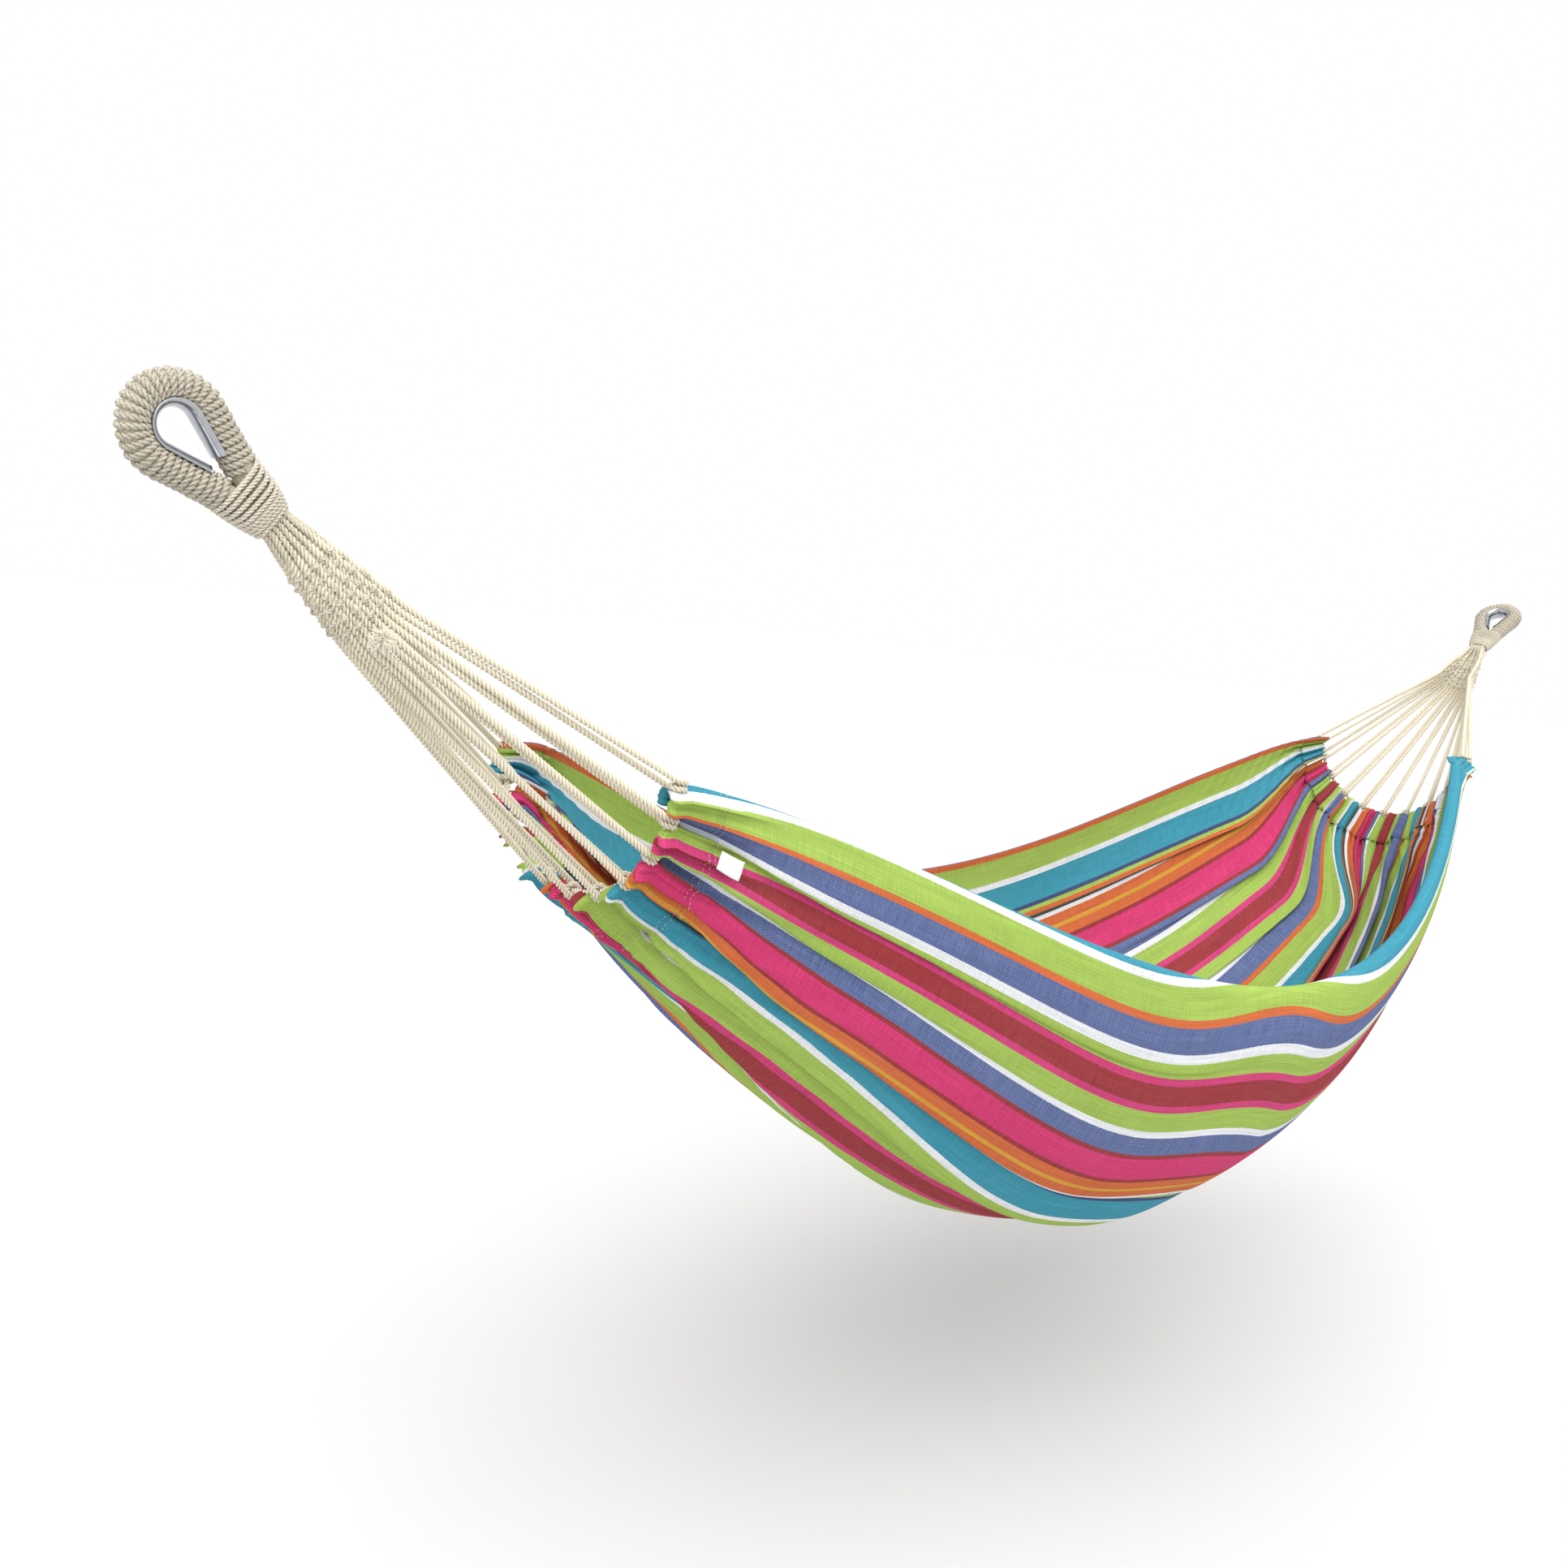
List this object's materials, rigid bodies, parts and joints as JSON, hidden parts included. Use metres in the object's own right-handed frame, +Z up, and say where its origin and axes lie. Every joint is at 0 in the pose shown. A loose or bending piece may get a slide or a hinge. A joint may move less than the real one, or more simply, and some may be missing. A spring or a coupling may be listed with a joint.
{
  "type": "hammock",
  "caption": "Striped cotton hammock bed hung by fans of doubled ropes from a served rope eye with a thimble at each end.",
  "frame": {"origin": "centre of the round end of the first eye's thimble, where the hook's bar sits", "axes": "+X from the first eye to the second, +Z up, +Y across the bed"},
  "size_m": [2.7808, 0.702, 0.9567],
  "materials": {
    "thimble": "polished stainless steel",
    "rope": "undyed three-strand cotton rope",
    "serving": "undyed cotton cord wound tight",
    "lashing": "undyed three-strand cotton cord",
    "cloth": "coarse striped cotton weave",
    "thread": "white cotton sewing thread",
    "label": "blank white woven tape"
  },
  "bodies": {
    "root": {"thimble_a": "thimble", "thimble_b": "thimble", "eye_rope_a": "rope", "eye_rope_b": "rope", "eye_serving_a": "serving", "eye_serving_b": "serving", "neck_whipping_a": "lashing", "neck_whipping_b": "lashing"},
    "sling": {"clew_band_a": "rope", "clew_band_b": "rope", "weaver_cord_a": "lashing", "weaver_cord_b": "lashing", "weaver_knot_a": "lashing", "weaver_knot_b": "lashing", "hem_cord_a": "rope", "hem_cord_b": "rope", "hem_pocket_a": "cloth", "hem_pocket_b": "cloth", "hem_thread_a": "thread", "hem_thread_b": "thread", "bed_cloth": "cloth", "blank_label": "label", "suspension_rope_a_01": "rope", "suspension_rope_a_02": "rope", "suspension_rope_a_03": "rope", "suspension_rope_a_04": "rope", "suspension_rope_a_05": "rope", "suspension_rope_a_06": "rope", "suspension_rope_a_07": "rope", "suspension_rope_a_08": "rope", "suspension_rope_a_09": "rope", "suspension_rope_a_10": "rope", "suspension_rope_a_11": "rope", "suspension_rope_b_01": "rope", "suspension_rope_b_02": "rope", "suspension_rope_b_03": "rope", "suspension_rope_b_04": "rope", "suspension_rope_b_05": "rope", "suspension_rope_b_06": "rope", "suspension_rope_b_07": "rope", "suspension_rope_b_08": "rope", "suspension_rope_b_09": "rope", "suspension_rope_b_10": "rope", "suspension_rope_b_11": "rope"}
  },
  "joints": [
    {"name": "swing", "type": "hinge", "parent": "root", "child": "sling", "pos_m": [0.08668, 0, -0.06772], "axis": [1, 0, 0], "range_deg": [-40, 40]}
  ]
}
